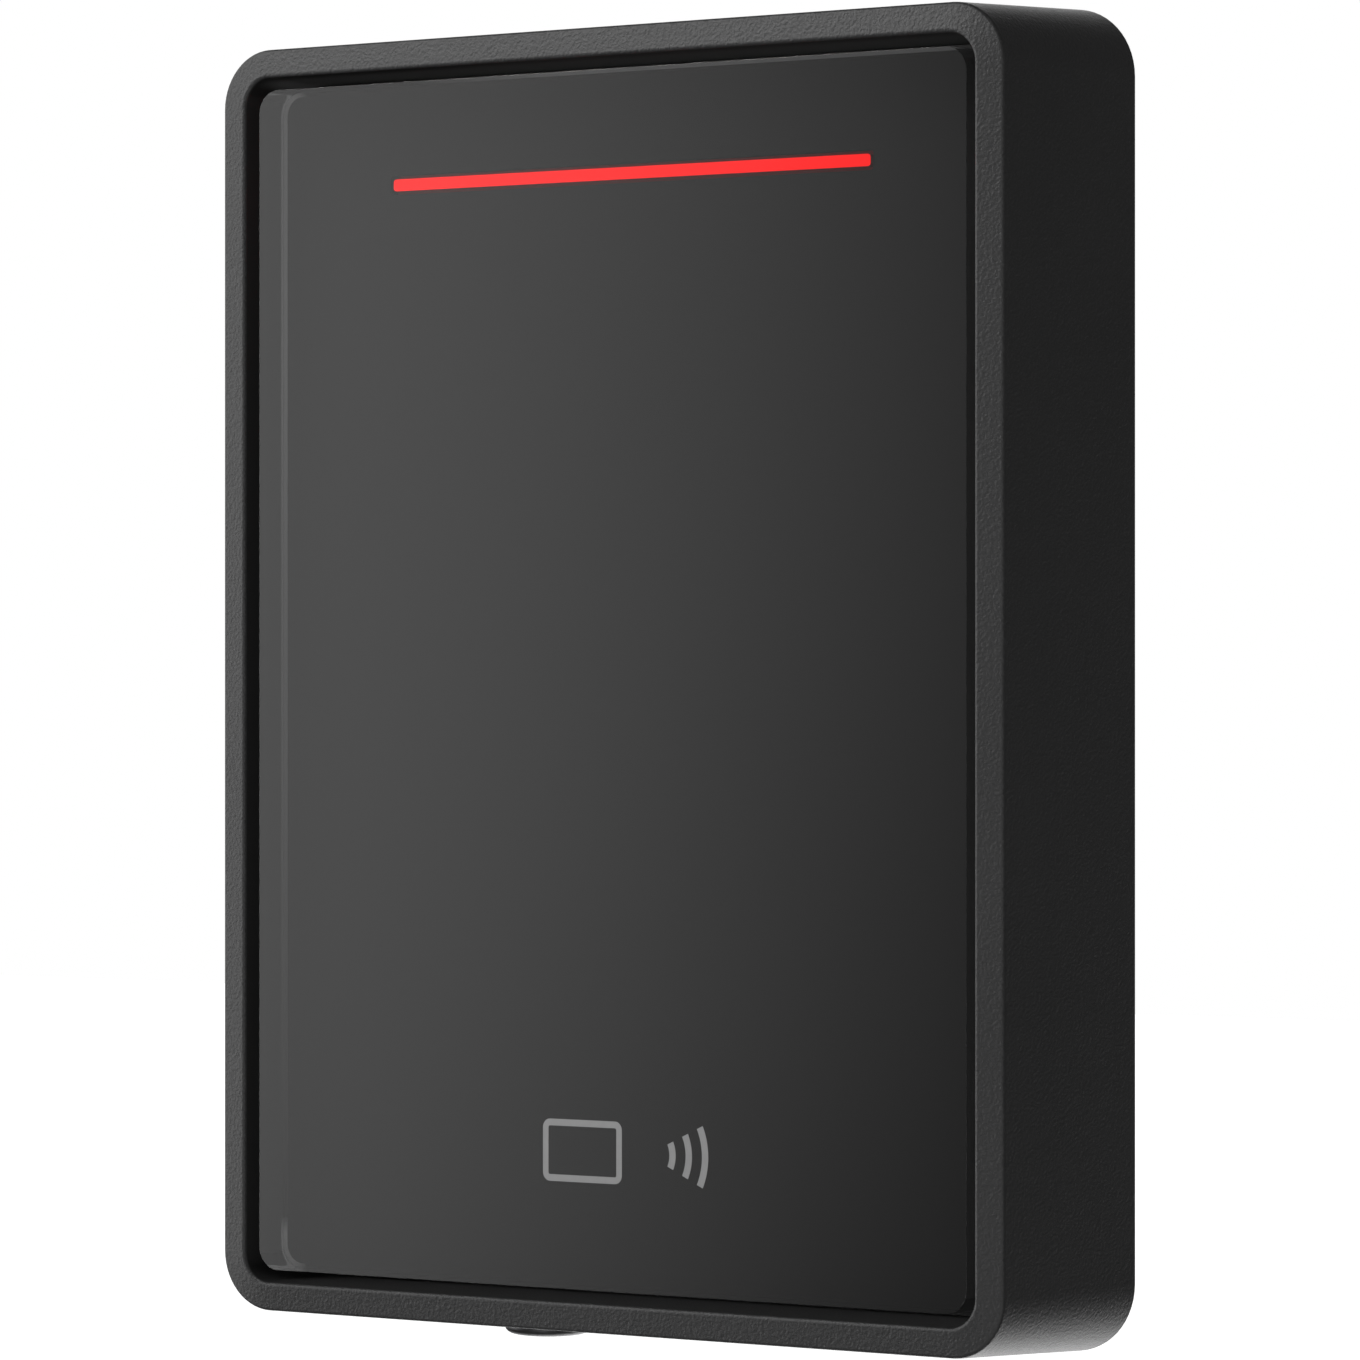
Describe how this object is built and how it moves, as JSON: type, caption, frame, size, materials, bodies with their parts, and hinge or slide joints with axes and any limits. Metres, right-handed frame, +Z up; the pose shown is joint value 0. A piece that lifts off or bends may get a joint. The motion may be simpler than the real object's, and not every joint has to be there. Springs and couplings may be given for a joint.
{
  "type": "rfid card reader",
  "caption": "Portrait wall-mounted card reader: grained black housing round a smoked clear cover with a lit red bar, hung on a wall plate by hooks and a locking screw.",
  "frame": {"origin": "on the back face of the wall plate (the wall plane), level with the middle of the housing's outline", "axes": "+Z up, +Y into the wall, -Y out of the front face, +X to the right as seen from the front"},
  "size_m": [0.089, 0.0225, 0.1211],
  "materials": {
    "housing_plastic": "fine spark-eroded grain, satin black",
    "clear_cover": "polished smoke-tinted clear acrylic",
    "mask_black": "smooth black mask with one printed symbol",
    "light_bar": "red-lit diffusing acrylic",
    "rubber_black": "moulded silicone",
    "circuit_board": "green solder resist on glass epoxy",
    "copper_track": "etched copper",
    "ferrite": "dark ferrite",
    "led_package": "white LED package",
    "tinned_steel": "tinned sheet",
    "chip_epoxy": "moulded epoxy",
    "cover_plastic": "moulded black plastic",
    "plate_plastic": "moulded black plastic",
    "screw_steel": "zinc plated steel",
    "screw_black": "black oxide steel",
    "insert_brass": "turned brass",
    "terminal_green": "moulded green plastic",
    "button_orange": "moulded orange plastic",
    "vent_white": "white membrane",
    "plunger_white": "natural acetal"
  },
  "bodies": {
    "wall_bracket": {"wall_plate": "plate_plastic", "thread_insert": "insert_brass"},
    "reader": {"front_housing": "housing_plastic", "window_lens": "clear_cover", "mask_plate": "mask_black", "light_guide": "light_bar", "lens_seal": "rubber_black", "antenna_coil": "copper_track", "antenna_board": "circuit_board", "ferrite_sheet": "ferrite", "antenna_header": "chip_epoxy", "main_board": "circuit_board", "shield_can": "tinned_steel", "controller_chip": "chip_epoxy", "power_inductor": "ferrite", "buzzer": "chip_epoxy", "tamper_switch": "tinned_steel", "cover_gasket": "rubber_black", "rear_cover": "cover_plastic", "vent_membrane": "vent_white", "terminal_seal": "rubber_black", "terminal_block": "terminal_green", "tamper_spring": "screw_steel", "board_screw_1": "screw_steel", "cover_screw_1": "screw_steel", "board_screw_2": "screw_steel", "cover_screw_2": "screw_steel", "board_screw_3": "screw_steel", "cover_screw_3": "screw_steel", "board_screw_4": "screw_steel", "cover_screw_4": "screw_steel", "led_1": "led_package", "led_2": "led_package", "led_3": "led_package", "led_4": "led_package", "led_5": "led_package", "led_6": "led_package"},
    "lock_washer": {"screw_washer": "screw_steel"},
    "lock_screw": {"locking_screw": "screw_black"},
    "plunger": {"tamper_plunger": "plunger_white"},
    "release_button_1": {"terminal_button_1": "button_orange"},
    "release_button_2": {"terminal_button_2": "button_orange"},
    "release_button_3": {"terminal_button_3": "button_orange"},
    "release_button_4": {"terminal_button_4": "button_orange"},
    "release_button_5": {"terminal_button_5": "button_orange"},
    "release_button_6": {"terminal_button_6": "button_orange"},
    "release_button_7": {"terminal_button_7": "button_orange"},
    "release_button_8": {"terminal_button_8": "button_orange"}
  },
  "joints": [
    {"name": "reader_tilt", "type": "hinge", "parent": "wall_bracket", "child": "reader", "pos_m": [0, -0.0012, 0.0565], "axis": [-1, 0, 0], "range_deg": [0, 10]},
    {"name": "lock_washer_slide", "type": "slide", "parent": "wall_bracket", "child": "lock_washer", "axis": [0, 0, -1], "range_m": [0, 0.0025]},
    {"name": "lock_screw_turn", "type": "hinge", "parent": "lock_washer", "child": "lock_screw", "pos_m": [-0.01675, -0.0069, -0.059], "axis": [0, 0, -1], "range_deg": [0, 1800]},
    {"name": "tamper_slide", "type": "slide", "parent": "reader", "child": "plunger", "axis": [0, 1, 0], "range_m": [0, 0.0012], "deforming": ["tamper_spring"]},
    {"name": "release_press_1", "type": "slide", "parent": "reader", "child": "release_button_1", "axis": [0, -1, 0], "range_m": [0, 0.0008], "stiffness_N_per_m": 150, "springref_m": -0.002},
    {"name": "release_press_2", "type": "slide", "parent": "reader", "child": "release_button_2", "axis": [0, -1, 0], "range_m": [0, 0.0008], "stiffness_N_per_m": 150, "springref_m": -0.002},
    {"name": "release_press_3", "type": "slide", "parent": "reader", "child": "release_button_3", "axis": [0, -1, 0], "range_m": [0, 0.0008], "stiffness_N_per_m": 150, "springref_m": -0.002},
    {"name": "release_press_4", "type": "slide", "parent": "reader", "child": "release_button_4", "axis": [0, -1, 0], "range_m": [0, 0.0008], "stiffness_N_per_m": 150, "springref_m": -0.002},
    {"name": "release_press_5", "type": "slide", "parent": "reader", "child": "release_button_5", "axis": [0, -1, 0], "range_m": [0, 0.0008], "stiffness_N_per_m": 150, "springref_m": -0.002},
    {"name": "release_press_6", "type": "slide", "parent": "reader", "child": "release_button_6", "axis": [0, -1, 0], "range_m": [0, 0.0008], "stiffness_N_per_m": 150, "springref_m": -0.002},
    {"name": "release_press_7", "type": "slide", "parent": "reader", "child": "release_button_7", "axis": [0, -1, 0], "range_m": [0, 0.0008], "stiffness_N_per_m": 150, "springref_m": -0.002},
    {"name": "release_press_8", "type": "slide", "parent": "reader", "child": "release_button_8", "axis": [0, -1, 0], "range_m": [0, 0.0008], "stiffness_N_per_m": 150, "springref_m": -0.002}
  ],
  "couplings": [
    {"joint": "lock_screw_turn", "follows": "lock_washer_slide", "rad_per_m": 12566},
    {"joint": "tamper_slide", "follows": "reader_tilt", "m_per_rad": 0.00687}
  ]
}
